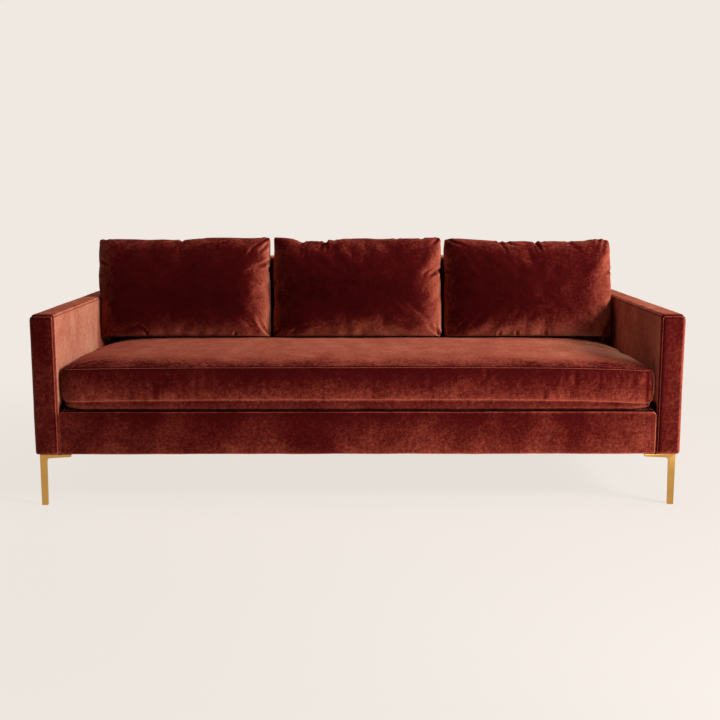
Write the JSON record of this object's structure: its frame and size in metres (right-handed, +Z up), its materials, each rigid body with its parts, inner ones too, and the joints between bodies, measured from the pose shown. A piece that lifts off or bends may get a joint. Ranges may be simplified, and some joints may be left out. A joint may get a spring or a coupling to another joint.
{
  "type": "three-seat sofa",
  "caption": "Velvet sofa with low square arms, one long boxed seat cushion, loose knife-edge back cushions and slim brass corner legs.",
  "frame": {"origin": "on the floor, under the middle of the sofa's width and depth", "axes": "+X to the right of someone facing the sofa, along its width; +Y from the front to the back; +Z up"},
  "size_m": [2.134, 0.965, 0.8623],
  "materials": {
    "velvet": "rust-red cotton velvet, short dense pile that darkens face on and lightens at the edges, tone-on-tone topstitching",
    "brass": "satin brass plate on steel, fine brushing along the blades",
    "hardwood": "kiln-dried beech, planed and left bare",
    "steel": "oiled spring steel and zinc-plated fasteners",
    "padding": "cream foam and polyester batting",
    "dust_cloth": "thin black non-woven cambric",
    "zip_metal": "enamelled zip slider in the colour of the velvet"
  },
  "bodies": {
    "frame": {"leg_front_left": "brass", "leg_front_right": "brass", "leg_rear_right": "brass", "leg_rear_left": "brass", "leg_screw_front_left_1": "steel", "leg_screw_front_left_2": "steel", "leg_screw_front_right_1": "steel", "leg_screw_front_right_2": "steel", "leg_screw_rear_right_1": "steel", "leg_screw_rear_right_2": "steel", "leg_screw_rear_left_1": "steel", "leg_screw_rear_left_2": "steel", "arm_bolt_left_front": "steel", "arm_bolt_left_rear": "steel", "arm_bolt_right_front": "steel", "arm_bolt_right_rear": "steel", "front_rail": "hardwood", "rear_rail": "hardwood", "centre_stretcher": "hardwood", "side_rail_left": "hardwood", "side_rail_right": "hardwood", "corner_block_front_left": "hardwood", "corner_block_front_right": "hardwood", "corner_block_rear_left": "hardwood", "corner_block_rear_right": "hardwood", "seat_spring_1": "steel", "seat_spring_2": "steel", "seat_spring_3": "steel", "seat_spring_4": "steel", "seat_spring_5": "steel", "seat_spring_6": "steel", "seat_spring_7": "steel", "deck_pad": "padding", "deck_cover": "velvet", "front_rail_cover": "velvet", "dust_cloth": "dust_cloth", "arm_cover_left": "velvet", "arm_cover_right": "velvet", "arm_pad_left": "padding", "arm_pad_right": "padding", "arm_frame_left": "hardwood", "arm_frame_right": "hardwood", "back_cover": "velvet", "back_pad": "padding", "back_top_rail": "hardwood", "back_upright_left": "hardwood", "back_upright_centre": "hardwood", "back_upright_right": "hardwood"},
    "seat_cushion": {"seat_cushion_cover": "velvet", "seat_cushion_core": "padding"},
    "seat_cushion_zip": {"seat_cushion_zip_slider": "zip_metal"},
    "back_cushion_left": {"back_cushion_cover_left": "velvet", "back_cushion_fill_left": "padding"},
    "back_cushion_left_zip": {"back_cushion_zip_slider_left": "zip_metal"},
    "back_cushion_centre": {"back_cushion_cover_centre": "velvet", "back_cushion_fill_centre": "padding"},
    "back_cushion_centre_zip": {"back_cushion_zip_slider_centre": "zip_metal"},
    "back_cushion_right": {"back_cushion_cover_right": "velvet", "back_cushion_fill_right": "padding"},
    "back_cushion_right_zip": {"back_cushion_zip_slider_right": "zip_metal"}
  },
  "joints": [
    {"name": "seat_cushion_slide", "type": "slide", "parent": "frame", "child": "seat_cushion", "axis": [0, -1, 0], "range_m": [0, 0.8]},
    {"name": "back_cushion_left_lift", "type": "slide", "parent": "frame", "child": "back_cushion_left", "axis": [0, 0.153, 0.9882], "range_m": [0, 0.45]},
    {"name": "back_cushion_centre_lift", "type": "slide", "parent": "frame", "child": "back_cushion_centre", "axis": [0, 0.153, 0.9882], "range_m": [0, 0.45]},
    {"name": "back_cushion_right_lift", "type": "slide", "parent": "frame", "child": "back_cushion_right", "axis": [0, 0.153, 0.9882], "range_m": [0, 0.45]},
    {"name": "seat_cushion_zip_run", "type": "slide", "parent": "seat_cushion", "child": "seat_cushion_zip", "axis": [1, 0, 0], "range_m": [0, 1.47]},
    {"name": "back_cushion_left_zip_run", "type": "slide", "parent": "back_cushion_left", "child": "back_cushion_left_zip", "axis": [1, 0, 0], "range_m": [0, 0.431]},
    {"name": "back_cushion_centre_zip_run", "type": "slide", "parent": "back_cushion_centre", "child": "back_cushion_centre_zip", "axis": [1, 0, 0], "range_m": [0, 0.431]},
    {"name": "back_cushion_right_zip_run", "type": "slide", "parent": "back_cushion_right", "child": "back_cushion_right_zip", "axis": [1, 0, 0], "range_m": [0, 0.431]}
  ]
}
